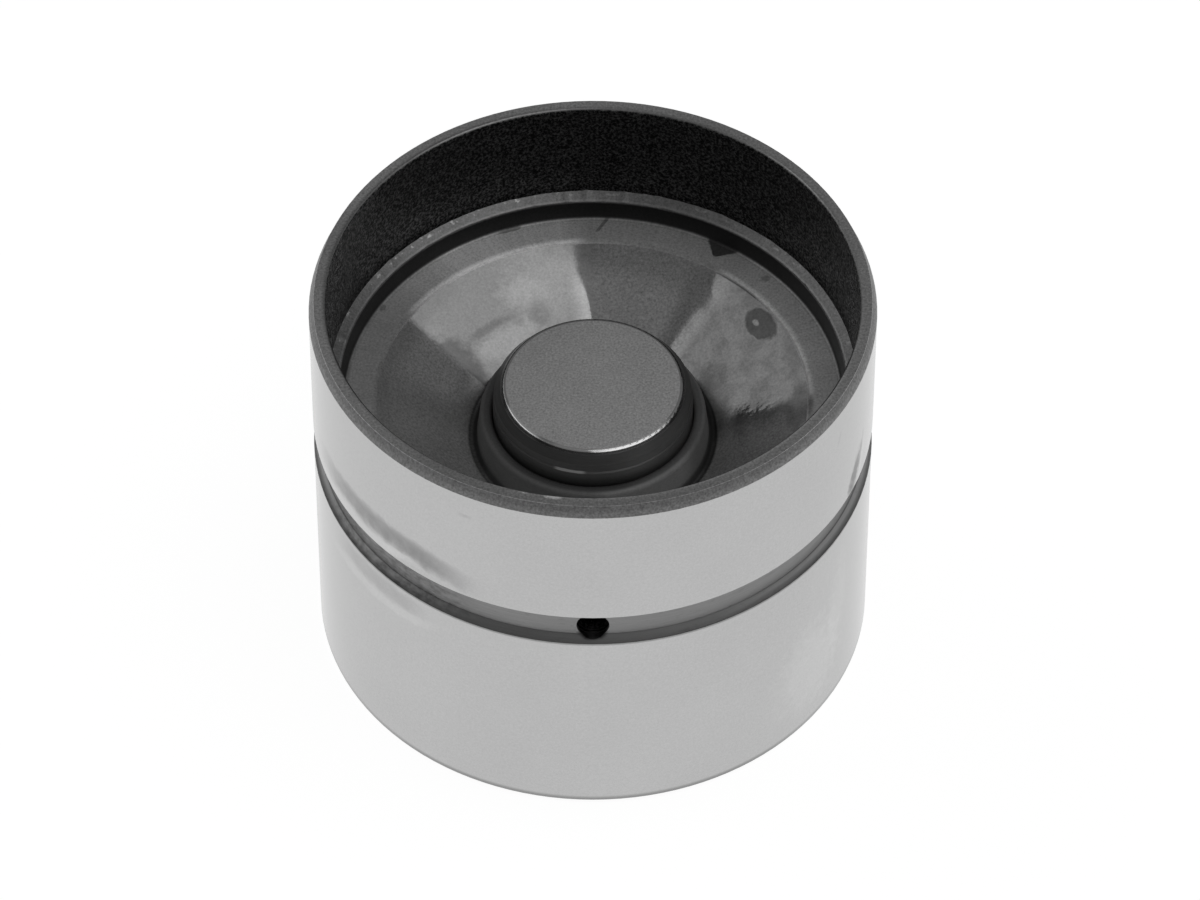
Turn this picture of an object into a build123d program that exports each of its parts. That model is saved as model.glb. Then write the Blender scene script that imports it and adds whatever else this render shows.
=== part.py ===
from build123d import *
import os
from math import cos, radians, sin, sqrt, tan

# Hydraulic bucket tappet, standing on its cam face with the open end up. All sizes are in millimetres.
# z = 0 is the cam face, +Z runs along the axis to the open end, and -Y is the side with the oil hole.

# bucket: one hardened steel cup, ground outside
bucket_radius = 16.5
bucket_height = 26.0
skirt_wall = 1.0
reservoir_wall = 1.6
crown_thickness = 2.6
floor_fillet = 1.2
seat_pad_height = 0.4
seat_pad_radius = 5.2
rim_chamfer_radial = 0.3
rim_chamfer_axial = 0.73
rim_inner_break = 0.12
crown_chamfer = 0.35

# oil groove round the skirt, its feed hole, and the oil recess pressed into the crown
groove_mid_z = 15.56
groove_floor_width = 1.42
groove_depth = 0.44
feed_hole_radius = 0.95
recess_width = 2.2
recess_depth = 0.5
recess_overrun = 1.3

# guide insert: one drawn sheet, from the flange in the skirt to the sleeve that guides the plunger
sheet_thickness = 0.6
insert_seat_z = 16.95
flange_height = 1.55
flange_top_width = 0.6
flange_top_drop = 0.35
flange_foot_width = 0.85
flange_bend_radius = 0.4
annulus_width = 1.75
annulus_blend_radius = 0.8
cone_angle = 29.5
crease_radius = 0.3
nose_foot_width = 0.95
nose_top_width = 0.7
nose_height = 2.25
nose_edge_radius = 0.42
mouth_radius = 0.25

# plunger: an inverted cup, and the flat wire ring that keeps it in the sleeve
plunger_radius = 5.9
plunger_fit = 0.05
plunger_length = 13.05
plunger_travel = 2.4
plunger_end_gap = 0.2
plunger_end_wall = 2.0
neck_relief = 0.08
neck_length = 1.25
face_chamfer_radial = 0.52
face_chamfer_axial = 0.68
face_edge_radius = 0.18
ring_width = 0.9
ring_thickness = 0.6
ring_seat_depth = 0.5
ring_gap_angle = 32.0
ring_gap_side = 90.0
ring_from_end = 0.8
stop_clearance = 0.02

# piston: hollow, standing on the crown's pad, with the valve seat in its upper end
piston_radius = 4.47
piston_fit = 0.03
piston_length = 7.2
piston_wall = 1.15
piston_end_wall = 1.4
piston_chamfer = 0.3
orifice_radius = 1.0
seat_angle = 45.0
seat_land = 0.35

# check valve: the ball, its cap-shaped cage and the two springs
ball_radius = 1.6
ball_clearance = 0.02
ball_lift = 0.3
cage_sheet = 0.3
cage_ball_gap = 0.18
cage_headroom = 0.85
cage_flange_gap = 0.25
cage_window_width = 1.1
cage_window_margin = 0.35
cage_window_count = 3
cage_vent_radius = 0.45
return_wire = 0.7
return_wall_gap = 0.3
return_active_turns = 2
ball_spring_wire = 0.2
ball_spring_radius = 0.75
ball_spring_active_turns = 2
end_coil_pitch = 1.05
end_coil_grind = 0.2
wire_sides = 8

# radii and heights that follow from the sizes above
bore_radius = bucket_radius - skirt_wall
reservoir_radius = bucket_radius - reservoir_wall
groove_floor_radius = bucket_radius - groove_depth
pad_z = crown_thickness + seat_pad_height
sleeve_radius = plunger_radius + plunger_fit
plunger_bore = piston_radius + piston_fit
annulus_z = insert_seat_z + sheet_thickness
flange_foot_radius = bore_radius - flange_foot_width
cone_top_radius = flange_foot_radius - annulus_width
nose_foot_radius = sleeve_radius + nose_foot_width
cone_slope = tan(radians(cone_angle))
crease_z = annulus_z - (cone_top_radius - nose_foot_radius) * cone_slope
nose_top_z = crease_z + nose_height
plunger_end_z = pad_z + plunger_travel + plunger_end_gap
ring_top_z = plunger_end_z + ring_from_end + ring_thickness
sleeve_end_z = ring_top_z + stop_clearance
plunger_face_z = plunger_end_z + plunger_length
chamber_top_z = plunger_face_z - plunger_end_wall
piston_top_z = pad_z + piston_length
ball_contact_radius = ball_radius * cos(radians(seat_angle))
seat_radius = ball_contact_radius + seat_land
seat_slope = tan(radians(seat_angle))
ball_z = piston_top_z - seat_land * seat_slope + ball_radius * sin(radians(seat_angle)) + ball_clearance
cage_bore = ball_radius + cage_ball_gap
cage_floor_z = piston_top_z + cage_sheet
cage_ceiling_z = ball_z + ball_radius + ball_lift + cage_headroom

full_turn = 360.0
from_base = (Align.CENTER, Align.CENTER, Align.MIN)


def coil_spring(foot_z, head_z, coil_radius, wire, active_turns):
    """Adds a spring with one closed, flat-ground coil at each end. The wire has flats, to keep the mesh light."""
    end_rise = end_coil_pitch * wire
    tip_height = wire / 2 - end_coil_grind * wire
    active_rise = head_z - foot_z - 2 * (tip_height + end_rise)
    with BuildLine() as centre_line:
        Helix(end_rise, end_rise, coil_radius, center=(0, 0, foot_z + tip_height))
        active_foot = (0, 0, foot_z + tip_height + end_rise)
        Helix(active_rise / active_turns, active_rise, coil_radius, center=active_foot)
        Helix(end_rise, end_rise, coil_radius, center=(0, 0, head_z - tip_height - end_rise))
    with BuildSketch(Plane(origin=centre_line.line @ 0, z_dir=centre_line.line % 0)) as wire_end:
        RegularPolygon(wire / 2, wire_sides)
    sweep(wire_end.sketch, path=centre_line.line, is_frenet=True)
    split(bisect_by=Plane.XY.offset(foot_z), keep=Keep.TOP)
    split(bisect_by=Plane.XY.offset(head_z), keep=Keep.BOTTOM)


# bucket: crown, thick reservoir wall, the step that seats the insert, and the thin skirt above it
with BuildPart() as bucket:
    Cylinder(bucket_radius, bucket_height, align=from_base)
    with Locations((0, 0, crown_thickness)):
        Cylinder(reservoir_radius, bucket_height, align=from_base, mode=Mode.SUBTRACT)
    fillet(bucket.edges().filter_by(GeomType.CIRCLE).group_by(Axis.Z)[-2], floor_fillet)
    with Locations((0, 0, insert_seat_z)):
        Cylinder(bore_radius, bucket_height, align=from_base, mode=Mode.SUBTRACT)
    with Locations((0, 0, crown_thickness)):
        Cylinder(seat_pad_radius, seat_pad_height, align=from_base)
    rim_edges = bucket.edges().group_by(Axis.Z)[-1].sort_by(SortBy.RADIUS)
    chamfer(rim_edges[0], rim_inner_break)
    with BuildSketch(Plane.XZ):
        with BuildLine():
            Polyline(
                (bucket_radius, bucket_height - rim_chamfer_axial),
                (bucket_radius - rim_chamfer_radial, bucket_height),
                (bucket_radius, bucket_height),
                close=True,
            )
        make_face()
    revolve(axis=Axis.Z, mode=Mode.SUBTRACT)
    chamfer(bucket.edges().group_by(Axis.Z)[0], crown_chamfer)

    # the oil groove has flanks at 45 degrees, so its mouth is wider than its floor by twice the depth
    with BuildSketch(Plane.XZ):
        with BuildLine():
            Polyline(
                (groove_floor_radius, groove_mid_z - groove_floor_width / 2),
                (groove_floor_radius, groove_mid_z + groove_floor_width / 2),
                (bucket_radius, groove_mid_z + groove_floor_width / 2 + groove_depth),
                (bucket_radius, groove_mid_z - groove_floor_width / 2 - groove_depth),
                close=True,
            )
        make_face()
    revolve(axis=Axis.Z, mode=Mode.SUBTRACT)
    with BuildSketch(Plane.XZ):
        with Locations((0, groove_mid_z)):
            Circle(feed_hole_radius)
    extrude(amount=bucket_radius, mode=Mode.SUBTRACT)

    # the recess lets oil from the reservoir pass under the piston's foot
    recess_length = piston_radius + recess_overrun
    with BuildSketch(Plane.XY.offset(pad_z)):
        with Locations((0, recess_length / 2)):
            SlotOverall(recess_length + recess_width, recess_width, rotation=90)
    extrude(amount=-recess_depth, mode=Mode.SUBTRACT)
bucket.part.label = "bucket"

# guide insert: flange, flat annulus, cone, coined nose of the folded edge, and the sleeve below it
with BuildPart() as guide_insert:
    sleeve_wall_radius = sleeve_radius + sheet_thickness
    corner_shift = sheet_thickness * tan(radians(cone_angle / 2))
    under_corner = (cone_top_radius + corner_shift, insert_seat_z)
    under_root_z = insert_seat_z - (under_corner[0] - sleeve_wall_radius) * cone_slope
    flange_top_z = annulus_z + flange_height
    nose_shoulder = (sleeve_radius + nose_top_width, nose_top_z)
    with BuildSketch(Plane.XZ) as section:
        with BuildLine():
            Polyline(
                (nose_foot_radius, crease_z),
                nose_shoulder,
                (sleeve_radius, nose_top_z),
                (sleeve_radius, sleeve_end_z),
                (sleeve_wall_radius, sleeve_end_z),
                (sleeve_wall_radius, under_root_z),
                under_corner,
                (bore_radius, insert_seat_z),
                (bore_radius, flange_top_z),
                (bore_radius - flange_top_width, flange_top_z - flange_top_drop),
                (flange_foot_radius, annulus_z),
                (cone_top_radius, annulus_z),
                close=True,
            )
        make_face()
        corners = section.vertices()
        fillet(corners.sort_by_distance((nose_foot_radius, 0, crease_z))[0], crease_radius)
        fillet(corners.sort_by_distance((nose_shoulder[0], 0, nose_top_z))[0], nose_edge_radius)
        fillet(corners.sort_by_distance((sleeve_radius, 0, nose_top_z))[0], mouth_radius)
        fillet(corners.sort_by_distance((bore_radius, 0, insert_seat_z))[0], flange_bend_radius)
        fillet(corners.sort_by_distance((cone_top_radius, 0, annulus_z))[0], annulus_blend_radius)
        fillet(corners.sort_by_distance((under_corner[0], 0, insert_seat_z))[0], annulus_blend_radius)
    revolve(axis=Axis.Z)
guide_insert.part.label = "guide_insert"

# plunger: the closed end stands out of the sleeve and takes the valve stem
with BuildPart() as plunger:
    with Locations((0, 0, plunger_end_z)):
        Cylinder(plunger_radius, plunger_length, align=from_base)
        Cylinder(plunger_bore, plunger_length - plunger_end_wall, align=from_base, mode=Mode.SUBTRACT)
    neck_radius = plunger_radius - neck_relief
    neck_z = plunger_face_z - neck_length
    with BuildSketch(Plane.XZ):
        with BuildLine():
            Polyline(
                (plunger_radius, neck_z - neck_relief),
                (neck_radius, neck_z),
                (neck_radius, plunger_face_z - face_chamfer_axial),
                (neck_radius - face_chamfer_radial, plunger_face_z),
                (plunger_radius, plunger_face_z),
                close=True,
            )
        make_face()
    revolve(axis=Axis.Z, mode=Mode.SUBTRACT)
    fillet(plunger.edges().group_by(Axis.Z)[-1], face_edge_radius)
    with Locations((0, 0, plunger_end_z + ring_from_end)):
        ring_seat_radius = plunger_radius - ring_seat_depth
        Cylinder(plunger_radius, ring_thickness, align=from_base, mode=Mode.SUBTRACT)
        Cylinder(ring_seat_radius, ring_thickness, align=from_base)
        Cylinder(plunger_bore, ring_thickness, align=from_base, mode=Mode.SUBTRACT)
plunger.part.label = "plunger"

# retaining ring: flat wire sprung into the plunger's groove, which stops against the sleeve's end
with BuildPart() as retaining_ring:
    with BuildSketch(Plane.XZ.rotated((0, 0, ring_gap_side + ring_gap_angle / 2))):
        with Locations((ring_seat_radius + ring_width / 2, ring_top_z - ring_thickness / 2)):
            Rectangle(ring_width, ring_thickness)
    revolve(axis=Axis.Z, revolution_arc=full_turn - ring_gap_angle)
retaining_ring.part.label = "retaining_ring"

# piston: open at the foot, with the orifice and its conical valve seat at the top
with BuildPart() as piston:
    with Locations((0, 0, pad_z)):
        Cylinder(piston_radius, piston_length, align=from_base)
        Cylinder(piston_radius - piston_wall, piston_length - piston_end_wall, align=from_base, mode=Mode.SUBTRACT)
    chamfer(piston.edges().filter_by(GeomType.CIRCLE).sort_by(SortBy.RADIUS)[-2:], piston_chamfer)
    with Locations((0, 0, pad_z)):
        Cylinder(orifice_radius, piston_length, align=from_base, mode=Mode.SUBTRACT)
    with BuildSketch(Plane.XZ):
        with BuildLine():
            Polyline(
                (0, piston_top_z),
                (seat_radius, piston_top_z),
                (0, piston_top_z - seat_radius * seat_slope),
                close=True,
            )
        make_face()
    revolve(axis=Axis.Z, mode=Mode.SUBTRACT)
piston.part.label = "piston"

# valve cage: a pressed cap whose flange the return spring holds on the piston
with BuildPart() as valve_cage:
    cage_radius = cage_bore + cage_sheet
    with Locations((0, 0, piston_top_z)):
        Cylinder(plunger_bore - cage_flange_gap, cage_sheet, align=from_base)
        Cylinder(cage_radius, cage_ceiling_z + cage_sheet - piston_top_z, align=from_base)
        Cylinder(cage_bore, cage_ceiling_z - piston_top_z, align=from_base, mode=Mode.SUBTRACT)
        Cylinder(cage_vent_radius, bucket_height, align=from_base, mode=Mode.SUBTRACT)
    window_height = cage_ceiling_z - cage_floor_z - 2 * cage_window_margin
    with Locations((0, 0, cage_floor_z + cage_window_margin)):
        with PolarLocations(cage_radius, cage_window_count, start_angle=90):
            Box(2 * cage_bore, cage_window_width, window_height, align=from_base, mode=Mode.SUBTRACT)
valve_cage.part.label = "valve_cage"

# check ball, a hair above its seat
with BuildPart() as check_ball:
    with Locations((0, 0, ball_z)):
        Sphere(ball_radius)
check_ball.part.label = "check_ball"

# ball spring, from the ball's shoulder up to the cage's ceiling
with BuildPart() as ball_spring:
    spring_inner_radius = ball_spring_radius - ball_spring_wire / 2
    ball_shoulder_z = ball_z + sqrt(ball_radius**2 - spring_inner_radius**2) + ball_clearance
    coil_spring(ball_shoulder_z, cage_ceiling_z, ball_spring_radius, ball_spring_wire, ball_spring_active_turns)
ball_spring.part.label = "ball_spring"

# return spring, from the cage's flange up to the closed end of the plunger
with BuildPart() as return_spring:
    return_spring_radius = plunger_bore - return_wall_gap - return_wire / 2
    coil_spring(cage_floor_z, chamber_top_z, return_spring_radius, return_wire, return_active_turns)
return_spring.part.label = "return_spring"

os.makedirs("parts", exist_ok=True)
export_step(bucket.part, "parts/bucket.step")
export_step(guide_insert.part, "parts/guide_insert.step")
export_step(plunger.part, "parts/plunger.step")
export_step(retaining_ring.part, "parts/retaining_ring.step")
export_step(piston.part, "parts/piston.step")
export_step(valve_cage.part, "parts/valve_cage.step")
export_step(check_ball.part, "parts/check_ball.step")
export_step(ball_spring.part, "parts/ball_spring.step")
export_step(return_spring.part, "parts/return_spring.step")
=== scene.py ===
from math import cos, pi, radians, sin, tan

import bpy
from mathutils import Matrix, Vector, noise


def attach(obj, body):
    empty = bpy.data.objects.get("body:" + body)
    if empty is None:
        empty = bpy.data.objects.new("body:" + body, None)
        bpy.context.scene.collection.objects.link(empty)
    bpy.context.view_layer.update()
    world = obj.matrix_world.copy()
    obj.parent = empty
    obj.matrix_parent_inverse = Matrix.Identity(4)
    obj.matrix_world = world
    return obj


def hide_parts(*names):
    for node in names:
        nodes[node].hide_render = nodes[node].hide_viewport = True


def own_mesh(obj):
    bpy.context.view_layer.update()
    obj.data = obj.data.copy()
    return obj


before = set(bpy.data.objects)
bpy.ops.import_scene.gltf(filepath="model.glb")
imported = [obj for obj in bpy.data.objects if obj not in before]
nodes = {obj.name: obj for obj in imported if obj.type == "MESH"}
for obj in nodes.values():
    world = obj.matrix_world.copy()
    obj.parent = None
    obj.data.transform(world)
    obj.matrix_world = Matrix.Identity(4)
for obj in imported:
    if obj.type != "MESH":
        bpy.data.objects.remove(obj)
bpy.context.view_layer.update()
mm = 0.001
print("frame loaded:", len(nodes), "nodes")

# camera, fitted to the photograph: it looks along +Y and down onto the open end
view = {
    "lens": 210.1,
    "sensor": 36.0,
    "distance": 415.6,
    "elevation": 47.66,
    "lookHeight": 12.92,
    "shiftX": 0.0059,
    "clip": (0.01, 20),
}


def placeCamera():
    data = bpy.data.cameras.new("camera")
    data.lens = view["lens"]
    data.sensor_width = view["sensor"]
    data.shift_x = view["shiftX"]
    data.clip_start, data.clip_end = view["clip"]
    camera = bpy.data.objects.new("camera", data)
    bpy.context.scene.collection.objects.link(camera)
    rise = radians(view["elevation"])
    reach = view["distance"] * mm
    target = Vector((0, 0, view["lookHeight"] * mm))
    camera.location = target + Vector((0, -reach * cos(rise), reach * sin(rise)))
    camera.rotation_euler = (target - camera.location).to_track_quat("-Z", "Y").to_euler()
    bpy.context.scene.camera = camera


placeCamera()


class Value:
    # wraps a socket, so that shader maths reads as plain expressions
    def __init__(self, shader, socket):
        self.shader = shader
        self.socket = socket

    def combine(self, kind, first, second):
        return self.shader.number("ShaderNodeMath", {"operation": kind}, {0: first, 1: second})

    def __add__(self, other):
        return self.combine("ADD", self, other)

    def __radd__(self, other):
        return self.combine("ADD", other, self)

    def __sub__(self, other):
        return self.combine("SUBTRACT", self, other)

    def __rsub__(self, other):
        return self.combine("SUBTRACT", other, self)

    def __mul__(self, other):
        return self.combine("MULTIPLY", self, other)

    def __rmul__(self, other):
        return self.combine("MULTIPLY", other, self)

    def __truediv__(self, other):
        return self.combine("DIVIDE", self, other)

    def __pow__(self, other):
        return self.combine("POWER", self, other)

    def __abs__(self):
        return self.combine("ABSOLUTE", self, 0)


def opaque(grey):
    return (grey, grey, grey, 1)


def over(under, top, mask):
    return under * (1 - mask) + top * mask


# noise varies round this value
noiseMiddle = 0.5
# what frays the outlines of spots: scale, detail, roughness
frayNoise = (1.6, 3.0, 0.6)


class Shader:
    # one material, its nodes, and the places on the lifter that its masks are written in
    def __init__(self, name, noises=None, shares=None):
        self.material = bpy.data.materials.new(name)
        self.material.use_nodes = True
        self.tree = self.material.node_tree
        self.tree.nodes.clear()
        self.output = self.tree.nodes.new("ShaderNodeOutputMaterial")
        self.noises = noises
        self.shares = shares

    def node(self, kind, settings=None, sockets=None):
        made = self.tree.nodes.new(kind)
        for key, setting in (settings or {}).items():
            setattr(made, key, setting)
        for key, value in (sockets or {}).items():
            if isinstance(value, Value):
                self.tree.links.new(value.socket, made.inputs[key])
            else:
                made.inputs[key].default_value = value
        return made

    def number(self, kind, settings=None, sockets=None, out=0):
        return Value(self, self.node(kind, settings, sockets).outputs[out])

    def place(self):
        # position in millimetres, and from it the height, the radius and the direction
        local = self.number("ShaderNodeTexCoord", out="Object")
        scaling = {0: local, "Scale": 1 / mm}
        self.position = self.number("ShaderNodeVectorMath", {"operation": "SCALE"}, scaling)
        split = self.node("ShaderNodeSeparateXYZ", None, {0: self.position})
        self.x, self.y, self.z = (Value(self, split.outputs[i]) for i in range(3))
        self.r = (self.x * self.x + self.y * self.y) ** 0.5
        # degrees round the axis from the back (+Y), positive towards -X
        self.turn = self.angle(0 - self.x, self.y)
        # degrees round the axis from the front (-Y), positive towards +X
        self.front = self.angle(self.x, 0 - self.y)
        self.fray = self.noise(*frayNoise) - noiseMiddle
        # the piece's own noises, by name. Its zones join them later
        self.masks = {name: self.noise(*spec) for name, spec in self.noises.items()}
        return self

    def angle(self, opposite, adjacent):
        sockets = {0: opposite, 1: adjacent}
        return self.number("ShaderNodeMath", {"operation": "ARCTAN2"}, sockets) * (180 / pi)

    def ease(self, value, low, high, start=0.0, end=1.0):
        sockets = {"Value": value, "From Min": low, "From Max": high}
        sockets.update({"To Min": start, "To Max": end})
        return self.number("ShaderNodeMapRange", {"interpolation_type": "SMOOTHSTEP"}, sockets)

    def fall(self, value, low, high, start=1.0):
        return self.ease(value, low, high, start, 0.0)

    def band(self, value, low, high, soft, strength=1.0):
        # the strength between low and high, falling to 0 over the soft width outside them
        rise = self.ease(value, low - soft, low, 0.0, strength)
        return rise * self.fall(value, high, high + soft)

    def bands(self, value, rows):
        # several bands together. Each row: low, high, softness, strength
        return sum(self.band(value, *row) for row in rows)

    def spot(self, along, across, middle, half, ragged, soft, lean=0.0):
        # a patch round middle = (along, across), half = its half sizes, with a ragged outline
        v = (across - middle[1]) / half[1]
        u = (along - middle[0]) / half[0] - v * lean
        edge = (u * u + v * v) ** 0.5 + self.fray * ragged * 2
        return self.fall(edge, 1 - soft, 1 + soft)

    def spots(self, along, across, rows):
        # several patches together. Each row: middle, half sizes, raggedness, softness, strength
        return sum(self.spot(along, across, *row[:4]) * row[4] for row in rows)

    def hills(self, along, across, rows):
        # smooth rises. Each row: middle, half sizes, height
        total = 0
        for middle, half, height in rows:
            u = (along - middle[0]) / half[0]
            v = (across - middle[1]) / half[1]
            total = self.fall(u * u + v * v, 0.0, 1.0) * height + total
        return total

    def blend(self, name):
        # a level, and a share of each named noise or zone on top of it
        total, shares = self.shares[name]
        for key, share in shares.items():
            total = self.masks[key] * share + total
        return total

    def noise(self, scale, detail, rough, stretch=None):
        where = self.around(*stretch) if stretch else self.position
        sockets = {"Vector": where, "Scale": scale, "Detail": detail, "Roughness": rough}
        return self.number("ShaderNodeTexNoise", None, sockets)

    def around(self, across, down, along):
        # a point that stretches a texture round the lifter: across per turn, down the height,
        # along the radius
        beside = {0: self.x / self.r * across, 1: self.y / self.r * across}
        beside[2] = self.z * down + self.r * along
        return self.number("ShaderNodeCombineXYZ", None, beside)

    def bump(self, height, distance, strength):
        sockets = {"Height": height, "Distance": distance, "Strength": strength}
        return self.number("ShaderNodeBump", None, sockets)

    def surface(self, grey, rough, normal, metallic=1.0, coat=0.0, coatRough=0.1, edgeTint=1.0):
        # the mix turns a single value into a grey colour
        toColour = {0: 1.0, 6: opaque(0), 7: grey}
        sockets = {
            "Base Color": self.number("ShaderNodeMix", {"data_type": "RGBA"}, toColour, out=2),
            "Roughness": rough,
            "Metallic": metallic,
            "Coat Weight": coat,
            "Coat Roughness": coatRough,
            "Specular Tint": opaque(edgeTint),
            "Normal": normal,
        }
        made = self.node("ShaderNodeBsdfPrincipled", None, sockets)
        self.tree.links.new(made.outputs[0], self.output.inputs[0])
        return self.material


def dress(piece, material):
    piece.data.materials.clear()
    piece.data.materials.append(material)


# stage: a white floor that the skirt mirrors, a dim studio, and two soft boxes overhead with a
# gap between them
stage = {
    "floorRadius": 0.3,
    "floorSteps": 96,
    "floorHeight": -0.00001,
    "floorShadow": 0.25,
    "floorGlow": 0.24,
    "paperGrey": 0.9,
    "studioGrey": 0.18,
    "boxHeight": 0.6,
    "boxes": {
        "rightBox": {"x": (0.05, 0.62), "y": (-0.45, 0.24), "glow": 0.7},
        "leftBox": {"x": (-1.15, -0.375), "y": (-0.12, 1.2), "glow": 0.57},
    },
}


def floorDisc():
    mesh = bpy.data.meshes.new("floor")
    radius, steps = stage["floorRadius"], stage["floorSteps"]
    angles = [2 * pi * i / steps for i in range(steps)]
    rim = [(radius * cos(a), radius * sin(a), stage["floorHeight"]) for a in angles]
    mesh.from_pydata(rim, [], [tuple(range(steps))])
    floor = bpy.data.objects.new("floor", mesh)
    bpy.context.scene.collection.objects.link(floor)
    return floor


def floorMaterial():
    shader = Shader("palePaper")
    path = shader.node("ShaderNodeLightPath")
    names = ("Is Camera Ray", "Is Glossy Ray", "Is Transmission Ray")
    camera, glossy, clear = (Value(shader, path.outputs[name]) for name in names)
    paperColour = {"Color": opaque(stage["paperGrey"])}
    paper = shader.node("ShaderNodeBsdfDiffuse", None, paperColour)
    # seen by the camera, the glow makes up for the unlit share of the paper
    glow = camera * stage["floorGlow"] + 1
    white = shader.node("ShaderNodeEmission", None, {"Color": opaque(1), "Strength": glow})
    share = camera * (1 - stage["floorShadow"]) + (glossy + clear)
    mixed = shader.node("ShaderNodeMixShader", None, {0: share})
    shader.tree.links.new(paper.outputs[0], mixed.inputs[1])
    shader.tree.links.new(white.outputs[0], mixed.inputs[2])
    shader.tree.links.new(mixed.outputs[0], shader.output.inputs[0])
    return shader.material


def lightStudio():
    world = bpy.data.worlds.new("studio")
    world.use_nodes = True
    bpy.context.scene.world = world
    tree = world.node_tree
    tree.nodes.clear()
    path = tree.nodes.new("ShaderNodeLightPath")
    mixed = tree.nodes.new("ShaderNodeMixShader")
    output = tree.nodes.new("ShaderNodeOutputWorld")
    tree.links.new(path.outputs["Is Camera Ray"], mixed.inputs[0])
    # the camera sees white, and everything else a dim grey
    for slot, grey in ((1, stage["studioGrey"]), (2, 1)):
        background = tree.nodes.new("ShaderNodeBackground")
        background.inputs["Color"].default_value = opaque(grey)
        tree.links.new(background.outputs[0], mixed.inputs[slot])
    tree.links.new(mixed.outputs[0], output.inputs[0])
    for name, box in stage["boxes"].items():
        lamp = bpy.data.lights.new(name, "AREA")
        lamp.shape = "RECTANGLE"
        lamp.size = box["x"][1] - box["x"][0]
        lamp.size_y = box["y"][1] - box["y"][0]
        lamp.energy = box["glow"] * pi * lamp.size * lamp.size_y
        holder = bpy.data.objects.new(name, lamp)
        holder.location = (sum(box["x"]) / 2, sum(box["y"]) / 2, stage["boxHeight"])
        bpy.context.scene.collection.objects.link(holder)


dress(floorDisc(), floorMaterial())
lightStudio()
bpy.context.scene.view_settings.view_transform = "Standard"
print("stage and camera ready")

# bucket: ground skirt, turned groove, grainy rim and dark inside
bucketLook = {
    "skirtGrey": 0.47,
    "grooveGrey": 0.24,
    "rimGrey": 0.38,
    "rimLineGrey": 0.44,
    "rimPalerAside": 0.14,
    "chamferGrey": 0.22,
    "insideGrey": 0.06,
    "insideFilm": 0.7,
    "filmRough": 0.25,
    "edgeTint": 0.9,
    "bump": (0.00002, 0.5),
}

# noises: scale, detail, roughness, and how some are stretched: across per turn, down the height,
# along the radius
bucketNoises = {
    "grind": (1.0, 3.0, 0.6, (3, 9, 0)),
    "turned": (1.0, 3.0, 0.6, (6, 14, 0)),
    "sootAndReflection": (1.0, 4.0, 0.75, (22, 3, 0)),
    "cloud": (0.12, 3.0, 0.55),
    "grain": (7.0, 2.0, 0.65),
    "speckle": (6.0, 3.0, 0.75),
    "reflectionFray": (1.1, 4.0, 0.6),
}

# the stretch of a noise's values that a mask takes, and the mask's values there
bucketStretches = {
    "speckled": (0.41, 0.7),
    "mottledDarkReflection": (0.35, 0.65, 0.0, 0.42),
    "sootSpots": (0.55, 0.75, 0.0, 0.2),
}

# a level, and the share of each noise or zone on top of it
bucketShares = {
    "skirt": (0.94, {"cloud": 0.1, "grind": 0.03}),
    "skirtFine": (0.9, {"grain": 0.2}),
    "reflectionBand": (0.55, {"reflectionFray": 0.9}),
    "groove": (0.8, {"turned": 0.4}),
    "rim": (0.7, {"cloud": 0.6}),
    "rimFine": (0.15, {"grain": 1.7}),
    "chamfer": (0.15, {"grain": 1.7}),
    "inside": (0.1, {"speckled": 3.1}),
    "film": (0.1, {"speckled": 2.5}),
    "rough": (0.14, {"cloud": 0.06, "groove": 0.22, "inside": 0.38, "onTop": 0.16, "chamfer": 0.3}),
    "metal": (1.0, {"onTop": -0.25, "inside": -0.1, "groove": -0.2}),
    "grindHeight": (0.3, {"inside": -0.3}),
    "grainHeight": (0.1, {"inside": 1.5, "groove": 0.5}),
}

# where its zones begin or end in mm, over a short way. Three or four numbers where it is a band:
# low, high, softness, strength. Four where it changes between two values: from, to, the values
bucketZones = {
    "outside": (15.7, 15.85),
    "inside": (15.5, 15.62),
    "aboveFloor": (0.5, 1.0),
    "top": (25.96, 25.99),
    "chamfer": (25.24, 25.3),
    "chamferDarkerUp": (25.42, 25.74, 1.13, 0.86),
    "rimLine": (15.6, 15.84),
    "besideChamfer": (15.86, 16.04, 0.0, 0.05),
    "grooveBand": (14.4, 16.72, 0.03),
    "grooveMouth": (16.455, 16.485),
    "grooveFloor": (16.07, 16.13),
    "grooveFlank": (16.2, 16.45),
    "underGrooveShadeBand": (14.36, 14.5, 0.14, 0.45),
    "foot": (0.45, 0.75),
}

# the same from side to side, by azimuth in degrees
bucketSides = {
    "foot": (30, 65, 0.42, 0.2),
    "paleFlank": (20, 60, 0.2, 1.6),
    "darkReflectionBand": (-62, -36, 14),
    "rimAside": (25, 60),
}

# the same by x or y in mm, or by the square of x
bucketAcross = {
    "rimLineY": (-12, 8, 1.0, 0.6),
    "rimLineX": (-13, 6, 0.74, 1.2),
    "filmSidesSquared": (200, 236),
    "filmSidesX": (-5, 5, 0.8, 0.32),
    "filmSquared": (60, 200, 0.5, 0.85),
    "filmBandX": (9, 13.6, 3, 0.22),
}

# painted reflections on the skirt, dark and pale bands: azimuths, height, how far the end droops,
# half width, depth (below 0: paler)
paintedSkirtReflections = {
    "leftDarkReflection": (-78, -21, 18.45, 0.9, 1.05, 0.42),
    "leftPaleReflection": (-82, -34, 17.0, -0.5, 0.5, -0.17),
    "lowerDarkReflection": (-68, -34, 13.4, 0.0, 0.9, 0.16),
    "lowerPaleReflection": (-72, -30, 12.1, -0.7, 0.5, -0.09),
}
reflectionShape = {"softShare": 0.35, "endShare": 0.75, "fray": 0.8}

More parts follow.
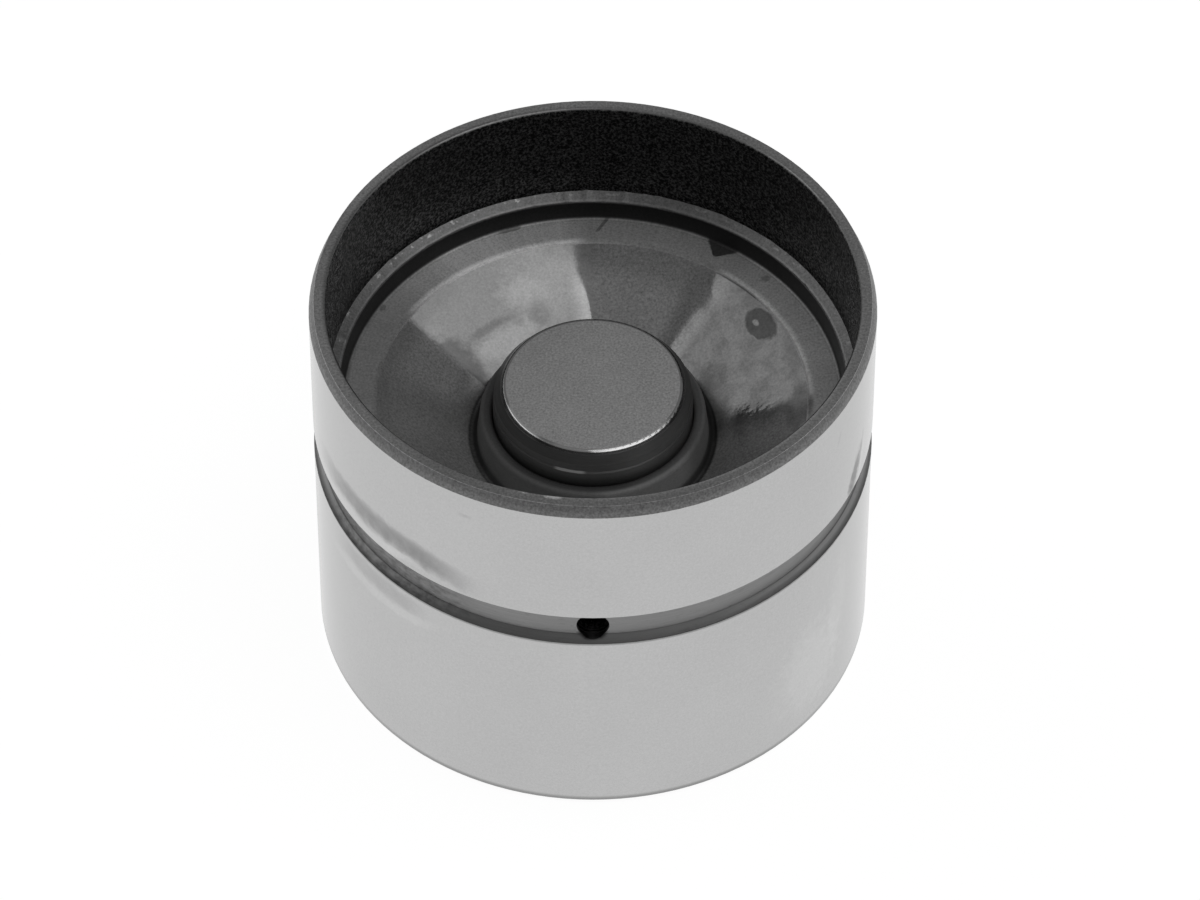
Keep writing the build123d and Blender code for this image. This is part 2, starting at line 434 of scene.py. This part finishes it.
# patches on the skirt: azimuth and height, half sizes, lean, depth (below 0: paler)
skirtPatches = {
    "rightSmear": ((67.3, 17.8), (2.0, 1.35), 1.1, 0.75),
    "rightSmearTip": ((70.5, 18.6), (0.8, 1.3), 1.6, 0.3),
    "rightPale": ((71.0, 17.9), (1.3, 1.5), 1.3, -0.14),
    "paleCloud": ((52, 5.2), (8.5, 3.2), 0.0, -0.11),
    "paleCloudUp": ((61, 8.5), (3.5, 3.2), 0.3, -0.06),
    "darkTick": ((59.3, 23.2), (0.5, 0.5), 0.8, 0.07),
    "scratched": ((-26.2, 23.6), (1.3, 0.16), 0.0, 0.12),
}
patchShape = {"ragged": 0.8, "soft": 0.6}

# painted glints on the rim, and spots in the groove: azimuth and radius or height, half sizes,
# raggedness, softness, strength
rimPaintedGlints = [
    ((-8.2, 15.68), (1.7, 0.12), 0.9, 0.6, 1.5),
    ((-14.5, 15.66), (0.8, 0.09), 0.9, 0.6, 0.75),
]
grooveSmudge = [((0, 14.96), (3.0, 0.34), 0.3, 0.25, 0.93)]


def skirtGrey(shader):
    z, front = shader.z, shader.front
    frayed = (shader.masks["reflectionFray"] - noiseMiddle) * reflectionShape["fray"]
    uneven = shader.blend("reflectionBand")
    grey = bucketLook["skirtGrey"] * shader.blend("skirt")
    # painted reflection: dark and pale bands across the skirt
    for start, end, height, droop, half, depth in paintedSkirtReflections.values():
        soft = (end - start) * reflectionShape["softShare"]
        centre = height - droop * shader.ease(front, end - soft, end)
        across = (z - centre + frayed) / half
        along = shader.ease(front, start, start + soft)
        along = along * shader.fall(front, end - soft * reflectionShape["endShare"], end)
        reflectionBand = shader.fall(across * across, 0.0, 1.0, depth) * along
        grey = grey * (1 - reflectionBand * uneven)
    for middle, half, lean, depth in skirtPatches.values():
        shape = (patchShape["ragged"], patchShape["soft"], lean)
        grey = grey * (1 - depth * shader.spot(front, z, middle, half, *shape))
    # darker along the foot, most at the front, and painted shade just below the groove's rounded
    # edge
    foot = shader.ease(abs(front), *bucketSides["foot"]) * shader.fall(z, *bucketZones["foot"])
    underGrooveShade = shader.band(z, *bucketZones["underGrooveShadeBand"])
    return grey * shader.blend("skirtFine") * (1 - foot) * (1 - underGrooveShade)


def grooveGrey(shader):
    r, front, sootAndReflection = shader.r, shader.front, shader.masks["sootAndReflection"]
    # painted dark reflection on the left flank, mottled, and dark soot spots all round
    darkReflectionAndSoot = shader.ease(sootAndReflection, *bucketStretches["mottledDarkReflection"])
    darkReflectionAndSoot = darkReflectionAndSoot * shader.band(front, *bucketSides["darkReflectionBand"])
    darkReflectionAndSoot = darkReflectionAndSoot + shader.ease(sootAndReflection, *bucketStretches["sootSpots"])
    # the flank's upper part is lighter, most of all towards the sides
    paleFlank = shader.ease(r, *bucketZones["grooveFloor"])
    paleFlank = paleFlank * shader.fall(r, *bucketZones["grooveFlank"])
    paleFlank = paleFlank * shader.ease(abs(front), *bucketSides["paleFlank"])
    smudge = shader.spots(front, shader.z, grooveSmudge)
    grey = bucketLook["grooveGrey"] * shader.blend("groove")
    return grey * (1 - darkReflectionAndSoot) * (1 + paleFlank) * (1 - smudge)


def rimGrey(shader):
    r, front = shader.r, shader.front
    lineGrey = bucketLook["rimLineGrey"] * shader.ease(shader.y, *bucketAcross["rimLineY"])
    lineGrey = lineGrey * shader.ease(shader.x, *bucketAcross["rimLineX"])
    grey = over(bucketLook["rimGrey"], lineGrey, shader.fall(r, *bucketZones["rimLine"]))
    # duller next to its chamfer at the front, and paler at its sides and back
    aside = shader.ease(abs(front), *bucketSides["rimAside"])
    dull = shader.ease(r, *bucketZones["besideChamfer"]) * (1 - aside)
    grey = grey * (1 - dull + bucketLook["rimPalerAside"] * aside)
    # painted glints at the rim's inner edge
    grey = grey * (1 + shader.spots(front, r, rimPaintedGlints))
    return grey * shader.blend("rim") * shader.blend("rimFine")


def bucketMaterial():
    shader = Shader("groundSteel", bucketNoises, bucketShares).place()
    x, r, z, masks = shader.x, shader.r, shader.z, shader.masks
    masks["speckled"] = shader.ease(masks["speckle"], *bucketStretches["speckled"])

    outside = shader.ease(r, *bucketZones["outside"])
    groove = shader.band(z, *bucketZones["grooveBand"]) * outside
    groove = groove * shader.fall(r, *bucketZones["grooveMouth"])
    inside = shader.fall(r, *bucketZones["inside"]) * shader.ease(z, *bucketZones["aboveFloor"])
    onTop = shader.ease(z, *bucketZones["top"])
    chamfer = shader.ease(z, *bucketZones["chamfer"]) * (1 - onTop) * outside
    masks.update(groove=groove, inside=inside, onTop=onTop, chamfer=chamfer)

    chamferGrey = bucketLook["chamferGrey"] * shader.blend("chamfer")
    # darker towards the top of the chamfer
    chamferGrey = chamferGrey * shader.ease(z, *bucketZones["chamferDarkerUp"])
    grey = over(skirtGrey(shader), rimGrey(shader), onTop)
    grey = over(grey, chamferGrey, chamfer)
    grey = over(grey, grooveGrey(shader), groove)
    grey = over(grey, bucketLook["insideGrey"] * shader.blend("inside"), inside)
    height = masks["grind"] * shader.blend("grindHeight")
    height = height + masks["grain"] * shader.blend("grainHeight")
    normal = shader.bump(height, *bucketLook["bump"])

    # the oil film inside is thinner at the back and on the right
    squared = x * x
    sides = shader.ease(squared, *bucketAcross["filmSidesSquared"])
    sides = sides * shader.ease(x, *bucketAcross["filmSidesX"])
    thinner = shader.ease(squared, *bucketAcross["filmSquared"]) * (1 + sides)
    thinner = thinner * (1 - shader.band(x, *bucketAcross["filmBandX"]))
    film = bucketLook["insideFilm"] * inside * shader.blend("film") * thinner
    rough, metal = shader.blend("rough"), shader.blend("metal")
    filmRough, edgeTint = bucketLook["filmRough"], bucketLook["edgeTint"]
    return shader.surface(grey, rough, normal, metal, film, filmRough, edgeTint)


dress(nodes["bucket"], bucketMaterial())
print("bucket dressed")

# guide insert: drawn sheet with a ragged flange edge, radial draw marks and an oily cone
insertLook = {
    "flangeGrey": 0.24,
    "bandGrey": 0.04,
    "annulusGrey": 0.58,
    "coneGrey": 0.34,
    "coneGrain": 1.4,
    "coneFilm": 0.18,
    "noseGrey": 0.18,
    "noseWallPaintedLight": 0.75,
    "drawHeight": 0.6,
    "bump": (0.00003, 0.5),
}

# noises: scale, detail, roughness, and how one is stretched
insertNoises = {
    "grain": (7.0, 2.0, 0.65),
    "cloud": (0.35, 3.0, 0.6),
    "mottle": (2.2, 4.0, 0.65),
    "blotch": (0.8, 3.0, 0.55),
    "wave": (0.36, 1.0, 0.5),
    "wrinkle": (1.8, 2.0, 0.6),
    "draw": (1.0, 3.0, 0.6, (60, 0, 0.2)),
}

# the stretch of a noise's values that a mask takes, and the mask's values there
insertStretches = {
    "mottledFilm": (0.4, 0.65, 0.0, 0.1),
    "blotchedFilm": (0.4, 0.62, 0.0, 0.16),
    "glintFlecks": (0.56, 0.68, 0.0, 1.8),
}

# a level, and the share of each noise or zone on top of it
insertShares = {
    "cone": (0.82, {"cloud": 0.2, "mottle": 0.15}),
    "annulus": (0.3, {"grain": 1.0, "draw": 0.4}),
    "bendShade": (0.1, {"cloud": 0.5}),
    "band": (0.6, {"grain": 0.8}),
    "lip": (0.35, {"grain": 1.2}),
    "nose": (0.7, {"cloud": 0.2, "grain": 0.4}),
    "rough": (
        0.06,
        {
            "cloud": 0.03,
            "matt": 0.47,
            "flange": 0.3,
            "nose": 0.66,
            "stain": 0.2,
            "band": 0.3,
            "haze": 0.26,
            "dulled": 0.24,
        },
    ),
    "metal": (0.68, {"matt": -0.13, "nose": 0.02, "haze": -0.14}),
    "grainHeight": (0.08, {"matt": 0.6, "flange": 0.9}),
}

# its section, as corners (radius, height, rounding): from the crease up round the nose, down the
# sleeve, out along the underside and up to the flange
insertSection = [
    (6.9, 14.155, 0.3),
    (6.65, 16.405, 0.42),
    (5.95, 16.405, 0.25),
    (5.95, 7.02, 0.0),
    (6.55, 7.02, 0.0),
    (6.55, 13.267, 0.3),
    (13.058, 16.95, 0.8),
    (15.5, 16.95, 0.4),
    (15.5, 19.1, 0.0),
    (14.9, 18.75, 0.14),
    (14.65, 17.55, 0.2),
    (12.9, 17.55, 0.8),
]
insertMesh = {"steps": 720, "stepsPerCorner": 5, "sharpAngle": 32, "normalWeight": 90}
insertEdge = {
    "topHeight": 18.6,
    "outerRadius": 15.45,
    "ragged": 0.02,
    "torn": 0.16,
    "tornAbove": 0.3,
    "uneven": 0.02,
    "perMillimetre": 1.3,
    "slice": 3,
}


def rounded(corners, stepsPerCorner):
    # the closed outline through these corners, each with its own rounding
    outline = []
    for i, (x, y, radius) in enumerate(corners):
        here = Vector((x, y))
        before = (Vector(corners[i - 1][:2]) - here).normalized()
        after = (Vector(corners[(i + 1) % len(corners)][:2]) - here).normalized()
        if radius == 0:
            outline.append(here)
            continue
        half = before.angle(after) / 2
        centre = here + (before + after).normalized() * (radius / sin(half))
        start = here + before * (radius / tan(half))
        end = here + after * (radius / tan(half))
        for k in range(stepsPerCorner + 1):
            spoke = (start - centre).slerp(end - centre, k / stepsPerCorner)
            outline.append(centre + spoke.normalized() * radius)
    return outline


def lathe(name, outline, steps, shift):
    # turns a closed outline round the axis. shift(radius, height, angle) may move a point a little
    vertices, faces = [], []
    count = len(outline)
    for i in range(steps):
        angle = 2 * pi * i / steps
        for point in outline:
            radius, height = shift(point.x, point.y, angle)
            vertices.append((radius * cos(angle) * mm, radius * sin(angle) * mm, height * mm))
    for i in range(steps):
        for k in range(count):
            a, b = i * count + k, i * count + (k + 1) % count
            c, d = (b + count) % len(vertices), (a + count) % len(vertices)
            faces.append((d, c, b, a))
    mesh = bpy.data.meshes.new(name)
    mesh.from_pydata(vertices, [], faces)
    mesh.validate()
    mesh.shade_smooth()
    mesh.set_sharp_from_angle(angle=radians(insertMesh["sharpAngle"]))
    piece = bpy.data.objects.new(name, mesh)
    bpy.context.scene.collection.objects.link(piece)
    even = piece.modifiers.new("evenNormals", "WEIGHTED_NORMAL")
    even.keep_sharp = True
    even.weight = insertMesh["normalWeight"]
    return piece


def raggedEdge(radius, height, angle):
    # the flange's cut edge is torn a little, and its inner corner isn't quite round
    edge = insertEdge
    if height < edge["topHeight"]:
        return radius, height
    reach = radius * edge["perMillimetre"]
    tear = noise.noise(Vector((cos(angle) * reach, sin(angle) * reach, edge["slice"])))
    height += edge["ragged"] * tear + edge["torn"] * max(0.0, tear - edge["tornAbove"])
    if radius < edge["outerRadius"]:
        radius += edge["uneven"] * tear
    return radius, height


insertOutline = rounded(insertSection, insertMesh["stepsPerCorner"])
drawnInsert = lathe("drawnInsert", insertOutline, insertMesh["steps"], raggedEdge)
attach(drawnInsert, "shell")
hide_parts("guide_insert")

# radii and heights of its zones in mm, written as the bucket's
insertZones = {
    "flangeHeight": (18.6, 18.72),
    "flangeRadius": (14.86, 14.92),
    "bandRadius": (14.6, 14.7),
    "bandHeight": (17.0, 17.3),
    "annulusBand": (13.12, 14.6, 0.3),
    "annulusBandWhereBright": (12.84, 14.6, 0.2),
    "annulusStartBand": (12.6, 12.95, 0.2),
    "mattBand": (12.78, 14.6, 0.16),
    "bend": (14.42, 14.56),
    "upperLipBand": (15.3, 15.48, 0.08),
    "lowerLipBand": (14.88, 15.0, 0.05, 0.3),
    "webEdge": (11.6, 12.5),
    "gapMiddle": (10.2, 12.2, 0.6, 0.12),
    "gapBeyondBand": (9.2, 11.2, 0.8),
    "wrinkled": (9.5, 11.5, 1.0, 0.2),
    "dulled": (7.5, 8.8),
    "nose": (7.0, 7.2),
    "crest": (6.35, 6.6),
    "outerWall": (14.3, 14.9),
    "creaseBand": (6.84, 7.3, 0.16),
    "creaseHeight": (14.3, 14.75),
}

# sectors round the axis in degrees from the back: low, high, softness, strength
insertSectors = {
    # where the cone mirrors a soft box
    "bright": [(5, 55, 5, 1.0), (-87, -39, 5, 1.0)],
    "smooth": [(2, 58, 4, 0.75), (-88, -40, 4, 0.5)],
    "paintedLight": [(10, 36, 10, 0.4), (26, 46, 8, 0.2), (-76, -46, 8, 0.15), (66, 120, 18, -0.22)],
    "paintedLightStart": [(4, 54, 5, 0.2), (-86, -38, 5, 0.15)],
    "dullEdge": [(-90, -36, 6, 0.1), (50, 180, 16, 0.12), (2, 12, 4, 0.1)],
    "oily": [(-94, -44, 5, 1.0)],
    "gapMiddle": [(-26, 2, 7, 1.0)],
    "gapBeyond": [(60, 72, 8, 0.2)],
    "hazeRight": [(-125, -95, 8, 0.45)],
}

# changes round the axis in degrees from the back: from, to, and the values there
insertSides = {
    "cutSmear": (59.2, 60.6),
    "frontPaintedLight": (84, 100, 0.0, 0.3),
    "hazeLeftStart": (70, 90),
    "hazeLeftEnd": (150, 176),
    "dulled": (52, 66),
    "wavyRight": (-30, -45, 0.8, 3.2),
    "wrinkled": (-66, -84, 0.0, 0.6),
    "leftGlintFlecks": (0, 8, 0.4, 1.0),
}

# the nose from side to side: bands in degrees from the front, and the painted shade in its crease
# by x in mm and by the square of the degrees
insertFront = {
    "shadedCrestBand": (-40, 12, 25, 0.35),
    "paintedLightWallBand": (12, 50, 15, 0.9),
    "creaseX": (-4, 4, 0.6, 0.78),
    "creaseSquared": (3700, 4800, 0.0, 0.12),
}

# marks: middle (degrees from the back, radius), half sizes, raggedness, softness, strength
insertMarks = {
    "paleFilmAndReflection": [
        ((15, 10.8), (12, 1.7), 0.9, 0.7, 0.26),
        ((24, 10.6), (7, 0.7), 0.9, 0.6, 0.2),
        ((37, 8.6), (14, 0.7), 0.9, 0.4, 0.34),
    ],
    "smear": [((41, 9.62), (11, 0.22), 0.9, 0.6, 0.3), ((20, 9.3), (4, 0.7), 0.9, 0.5, 0.24)],
    "cutSmear": [((60, 8.9), (8, 1.9), 0.4, 0.25, 0.5)],
    "cloudy": [((-92, 12.2), (8, 0.75), 0.6, 0.4, 0.4), ((-60, 8.3), (6, 0.85), 0.7, 0.3, 0.3)],
    "stain": [((-57.2, 11.9), (6.2, 0.72), 0.3, 0.1, 0.62)],
    "stainDot": [((-55.6, 11.75), (1.2, 0.14), 0.2, 0.3, 1.2)],
    "scuffs": [
        ((-47, 14.15), (0.9, 0.28), 0.7, 0.4, 0.35),
        ((20, 14.55), (3.0, 0.14), 0.5, 0.3, 0.5),
        ((60, 14.45), (1.0, 0.16), 0.5, 0.3, 0.4),
    ],
}
insertNick = {
    "turn": -32.3,
    "tip": 13.5,
    "tipLength": 0.2,
    "spread": 3.8,
    "tipWidth": 0.02,
    "edge": (0.95, 1.3),
    "ragged": 0.3,
    "depth": 0.85,
}
insertScratch = {
    "turn": -3.4,
    "end": 14.65,
    "lean": 2.2,
    "band": (13.7, 14.65, 0.25),
    "edgeSquared": (0.06, 0.4),
    "depth": 0.5,
}

# low swellings in the sheet, which bend the edges of what it mirrors: middle, half sizes, height
insertSwellings = [
    ((8.0, 6.8), (9, 4.7), 2.9),
    ((-43, 13.1), (9, 1.9), 1.2),
    ((-44, 9.0), (11, 2.3), 1.2),
]


def coneGrey(shader):
    r, turn, masks = shader.r, shader.turn, shader.masks
    look, zones, sectors, marks = insertLook, insertZones, insertSectors, insertMarks
    # pale patches of painted reflection and oil film, smears, a stain, and patches of film that are
    # duller along their outer edge
    pale = shader.spots(turn, r, marks["paleFilmAndReflection"])
    smear = shader.spots(turn, r, marks["smear"])
    cutOff = shader.fall(turn, *insertSides["cutSmear"])
    smear = smear + shader.spots(turn, r, marks["cutSmear"]) * cutOff
    cloudy = shader.spots(turn, r, marks["cloudy"])
    dullEdge = shader.bands(turn, sectors["dullEdge"])
    cloudy = cloudy + shader.ease(r, *zones["webEdge"]) * dullEdge
    stainDot = shader.spots(turn, r, marks["stainDot"])
    # painted light: paler towards the front, where the plunger's shade would hide it
    frontPaintedLight = shader.ease(abs(turn), *insertSides["frontPaintedLight"])
    oil = look["coneFilm"] + shader.ease(masks["mottle"], *insertStretches["mottledFilm"])
    oil = oil + shader.ease(masks["blotch"], *insertStretches["blotchedFilm"])
    oily = shader.bands(turn, sectors["oily"]) * oil
    inGap = shader.ease(r, *zones["gapMiddle"]) * shader.bands(turn, sectors["gapMiddle"])
    beyond = shader.band(r, *zones["gapBeyondBand"]) * shader.bands(turn, sectors["gapBeyond"])
    coarse = look["coneGrain"] - shader.bands(turn, sectors["smooth"])
    texture = shader.blend("cone") + coarse * (masks["grain"] - noiseMiddle)
    grey = look["coneGrey"] * texture * (1 + frontPaintedLight - oily + inGap + beyond)
    return grey * (1 + pale - smear - cloudy) * (1 - masks["stain"] * (1 - stainDot))


def annulusGrey(shader):
    r, turn = shader.r, shader.turn
    zones, sectors = insertZones, insertSectors
    # painted light and shade: paler where the cone mirrors a soft box, darker further round
    paintedLight = shader.bands(turn, sectors["paintedLight"])
    start = shader.band(r, *zones["annulusStartBand"])
    start = start * shader.bands(turn, sectors["paintedLightStart"])
    grey = insertLook["annulusGrey"] * shader.blend("annulus") * (1 + paintedLight + start)
    # a nick that widens from its tip outwards, a short scratch that leans, and scuffs
    cut = insertNick
    aside = abs(turn - cut["turn"]) / ((r - cut["tip"]) * cut["spread"] + cut["tipWidth"])
    nick = shader.fall(aside + shader.masks["mottle"] * cut["ragged"], *cut["edge"])
    nick = nick * shader.ease(r, cut["tip"], cut["tip"] + cut["tipLength"])
    line = insertScratch
    beside = turn - line["turn"] - (line["end"] - r) * line["lean"]
    scratch = shader.fall(beside * beside, *line["edgeSquared"]) * shader.band(r, *line["band"])
    grey = grey * (1 - cut["depth"] * nick) * (1 - scratch * line["depth"])
    grey = grey * (1 - shader.spots(turn, r, insertMarks["scuffs"]))
    # painted shade darkens its bend up to the flange unevenly
    return grey * (1 - shader.ease(r, *zones["bend"]) * shader.blend("bendShade"))


def lipGrey(shader):
    # the flange's edge, with painted glints along its outer side, more of them on the left
    upper = shader.band(shader.r, *insertZones["upperLipBand"])
    lower = shader.band(shader.r, *insertZones["lowerLipBand"])
    glintFlecks = shader.ease(shader.masks["mottle"], *insertStretches["glintFlecks"])
    glintFlecks = glintFlecks * shader.ease(shader.turn, *insertSides["leftGlintFlecks"])
    return insertLook["flangeGrey"] * (shader.blend("lip") + upper * glintFlecks + lower)


def noseGrey(shader):
    # painted shade dulls its crest at the front, and painted light makes it paler down its outer
    # side
    front = shader.front
    crest = shader.fall(shader.r, *insertZones["crest"])
    outerWall = (1 - crest) * shader.ease(shader.z, *insertZones["outerWall"])
    dull = crest * shader.band(front, *insertFront["shadedCrestBand"])
    paintedLight = insertLook["noseWallPaintedLight"] + shader.band(front, *insertFront["paintedLightWallBand"])
    grey = insertLook["noseGrey"] * shader.blend("nose")
    return grey * (1 - dull) * (1 + paintedLight * outerWall)


def insertMaterial():
    shader = Shader("drawnSteel", insertNoises, insertShares).place()
    look, zones, sectors, sides = insertLook, insertZones, insertSectors, insertSides
    r, z, turn, front, masks = shader.r, shader.z, shader.turn, shader.front, shader.masks
    masks["stain"] = shader.spots(turn, r, insertMarks["stain"])

    flange = shader.ease(z, *zones["flangeHeight"]) * shader.ease(r, *zones["flangeRadius"])
    band = shader.ease(r, *zones["bandRadius"]) * (1 - flange)
    band = band * shader.ease(z, *zones["bandHeight"])
    # painted reflection: the flat's pale colour starts further in where the cone mirrors a soft box
    bright = shader.bands(turn, sectors["bright"])
    annulus = shader.band(r, *zones["annulusBand"])
    annulus = over(annulus, shader.band(r, *zones["annulusBandWhereBright"]), bright)
    matt = shader.band(r, *zones["mattBand"])
    nose = shader.fall(r, *zones["nose"])
    # painted shade darkens the crease at the nose's foot, more on the right and away from the front
    crease = shader.band(r, *zones["creaseBand"]) * shader.fall(z, *zones["creaseHeight"])
    creaseShade = shader.ease(front * front, *insertFront["creaseSquared"])
    creaseShade = creaseShade + shader.ease(shader.x, *insertFront["creaseX"])

    grey = over(coneGrey(shader), annulusGrey(shader), annulus)
    grey = over(grey, noseGrey(shader), nose) * (1 - creaseShade * crease)
    grey = over(grey, look["bandGrey"] * shader.blend("band"), band)
    grey = over(grey, lipGrey(shader), flange)

    # drawing has dulled the sheet round the nose, except at the back, and its sides are hazy
    smooth = (1 - nose) * (1 - matt)
    dulled = shader.fall(r, *zones["dulled"]) * shader.ease(abs(turn), *sides["dulled"])
    haze = shader.ease(turn, *sides["hazeLeftStart"]) * shader.fall(turn, *sides["hazeLeftEnd"])
    haze = haze + shader.bands(turn, sectors["hazeRight"])
    masks.update(flange=flange, band=band, matt=matt, nose=nose)
    masks.update(dulled=dulled * smooth, haze=haze * smooth)
    rough, metal = shader.blend("rough"), shader.blend("metal")

    # the sheet is a little wavy, more so on its right half
    wrinkled = shader.ease(turn, *sides["wrinkled"]) * shader.ease(r, *zones["wrinkled"])
    waves = masks["wave"] * shader.ease(turn, *sides["wavyRight"]) + masks["wrinkle"] * wrinkled
    waves = waves + shader.hills(turn, r, insertSwellings)
    height = masks["grain"] * shader.blend("grainHeight")
    height = height + masks["draw"] * matt * look["drawHeight"] + waves * (1 - matt)
    return shader.surface(grey, rough, shader.bump(height, *look["bump"]), metal)


dress(drawnInsert, insertMaterial())
print("guide insert dressed")

# plunger: matt face, ground side, bright worn edge, and painted light on its side, step and edge
plungerLook = {
    "faceGrey": 0.59,
    "edgeGrey": 0.95,
    "sideGrey": 0.22,
    "stepGrey": 0.22,
    "turnedHeight": 0.3,
    "bump": (0.00002, 0.6),
}
plungerNoises = {
    "grain": (7.5, 2.0, 0.65),
    "cloud": (0.5, 3.0, 0.6),
    "turned": (1.0, 2.0, 0.5, (2, 8, 0)),
}
plungerShares = {
    "side": (0.8, {"turned": 0.4}),
    "face": (0.3, {"cloud": 0.2, "grain": 1.2}),
    "edge": (0.5, {"polished": 0.5}),
    "rough": (0.4, {"face": 0.15, "edge": -0.15}),
    "metal": (0.8, {"edge": 0.2}),
}

# heights and radii of its zones in mm, and stretches of it in degrees from the front
plungerZones = {
    "faceHeight": (18.6, 18.64),
    "faceRadius": (5.12, 5.16),
    "edgeHeight": (18.4, 18.5),
    "stepBand": (17.3, 17.42, 0.04),
    "stepRadius": (5.6, 5.7),
    "paintedHighlightBand": (-20, -7, 4, 2.6),
    "paintedLightSideBand": (32, 60, 25, 0.3),
    "polishedHighlightLeftBand": (-66, -42, 8),
    "polishedHighlightRightBand": (-22, 52, 7),
    "polishedHighlightMore": (-4, 14, 0.35, 1.0),
}


def plungerMaterial():
    shader = Shader("hardenedSteel", plungerNoises, plungerShares).place()
    look, zones = plungerLook, plungerZones
    r, z, front, masks = shader.r, shader.z, shader.front, shader.masks
    face = shader.ease(z, *zones["faceHeight"]) * shader.fall(r, *zones["faceRadius"])
    edge = shader.ease(z, *zones["edgeHeight"]) * shader.ease(r, *zones["faceRadius"])
    step = shader.band(z, *zones["stepBand"]) * shader.ease(r, *zones["stepRadius"])
    # painted highlight on the step, just left of the front
    paintedLight = shader.band(front, *zones["paintedHighlightBand"])
    # painted light: the side is paler on the right of the front
    litSide = shader.band(front, *zones["paintedLightSideBand"])
    # the face's edge is polished and has a painted highlight in two stretches at the front
    polished = shader.band(front, *zones["polishedHighlightRightBand"])
    polished = polished * shader.ease(front, *zones["polishedHighlightMore"])
    polished = polished + shader.band(front, *zones["polishedHighlightLeftBand"])
    masks.update(face=face, edge=edge, polished=polished)
    grey = look["sideGrey"] * shader.blend("side") * (1 + litSide)
    grey = over(grey, look["stepGrey"] * (1 + paintedLight), step)
    grey = over(grey, look["faceGrey"] * shader.blend("face"), face)
    grey = over(grey, look["edgeGrey"] * shader.blend("edge"), edge)
    height = masks["grain"] * face + masks["turned"] * (1 - face) * look["turnedHeight"]
    normal = shader.bump(height, *look["bump"])
    return shader.surface(grey, shader.blend("rough"), normal, shader.blend("metal"))


dress(nodes["plunger"], plungerMaterial())

# inner parts: ring, piston, cage and ball. Each: material, grey, roughness, scale of its grain
innerLook = {
    "retaining_ring": ("springSteelFlat", 0.3, 0.28, 8),
    "piston": ("pistonSteel", 0.4, 0.2, 8),
    "valve_cage": ("cageSheet", 0.36, 0.3, 10),
    "check_ball": ("ballSteel", 0.6, 0.06, 6),
}
plainLook = {"grain": (2.0, 0.6), "cloud": (0.6, 3.0, 0.6), "bump": (0.00001, 0.5)}
plainShares = {"grey": (0.85, {"cloud": 0.3}), "rougher": (0.0, {"cloud": 0.15})}


def plainMetal(name, grey, rough, grainScale):
    noises = {"grain": (grainScale, *plainLook["grain"]), "cloud": plainLook["cloud"]}
    shader = Shader(name, noises, plainShares).place()
    normal = shader.bump(shader.masks["grain"], *plainLook["bump"])
    return shader.surface(grey * shader.blend("grey"), shader.blend("rougher") + rough, normal)


for part, look in innerLook.items():
    dress(nodes[part], plainMetal(*look))
print("inner parts dressed")

# springs: round wire with closed, ground ends, in place of the plain ones
springs = {
    "returnCoil": {
        "node": "return_spring",
        "foot": 10.5,
        "head": 16.65,
        "coilRadius": 3.85,
        "wire": 0.7,
        "activeTurns": 2,
        "joint": "plunger_slide",
        "fixedAt": 10.5,
        "keep": 0.6098,
    },
    "ballCoil": {
        "node": "ball_spring",
        "foot": 12.483,
        "head": 13.751,
        "coilRadius": 0.75,
        "wire": 0.2,
        "activeTurns": 2,
        "joint": "check_ball_lift",
        "fixedAt": 13.751,
        "keep": 0.7634,
    },
}
# each end coil rises by a little more than the wire, and starts at a share of it above the foot
coilShape = {"stepsPerTurn": 72, "sides": 16, "endRise": 1.05, "tip": 0.3}
wireLook = ("springWire", 0.3, 0.25, 12)


def coilPath(spec):
    # the wire's middle, as angles and heights: one closed turn, the active turns, one closed turn
    endRise = coilShape["endRise"] * spec["wire"]
    tip = coilShape["tip"] * spec["wire"]
    active = spec["head"] - spec["foot"] - 2 * (tip + endRise)
    turns = spec["activeTurns"] + 2
    points = []
    for i in range(turns * coilShape["stepsPerTurn"] + 1):
        t = i / coilShape["stepsPerTurn"]
        if t < 1:
            rise = endRise * t
        elif t > turns - 1:
            rise = endRise + active + endRise * (t - turns + 1)
        else:
            rise = endRise + active * (t - 1) / spec["activeTurns"]
        points.append((2 * pi * t, spec["foot"] + tip + rise))
    return points


def coil(name, spec):
    sides = coilShape["sides"]
    points = coilPath(spec)
    vertices = []
    for angle, height in points:
        for k in range(sides):
            a = 2 * pi * k / sides
            out = spec["coilRadius"] + spec["wire"] / 2 * cos(a)
            z = min(max(height + spec["wire"] / 2 * sin(a), spec["foot"]), spec["head"])
            vertices.append((out * cos(angle) * mm, out * sin(angle) * mm, z * mm))
    faces = []
    for i in range(len(points) - 1):
        for k in range(sides):
            a, b = i * sides + k, i * sides + (k + 1) % sides
            faces.append((a, a + sides, b + sides, b))
    faces.append(tuple(range(sides)))
    faces.append(tuple(range(len(vertices) - 1, len(vertices) - sides - 1, -1)))
    mesh = bpy.data.meshes.new(name)
    mesh.from_pydata(vertices, [], faces)
    mesh.validate()
    for polygon in mesh.polygons:
        polygon.use_smooth = len(polygon.vertices) == 4
    piece = bpy.data.objects.new(name, mesh)
    bpy.context.scene.collection.objects.link(piece)
    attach(piece, "shell")
    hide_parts(spec["node"])
    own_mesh(piece)
    return piece


springWire = plainMetal(*wireLook)
for name, spec in springs.items():
    dress(coil(name, spec), springWire)
print("springs wound")
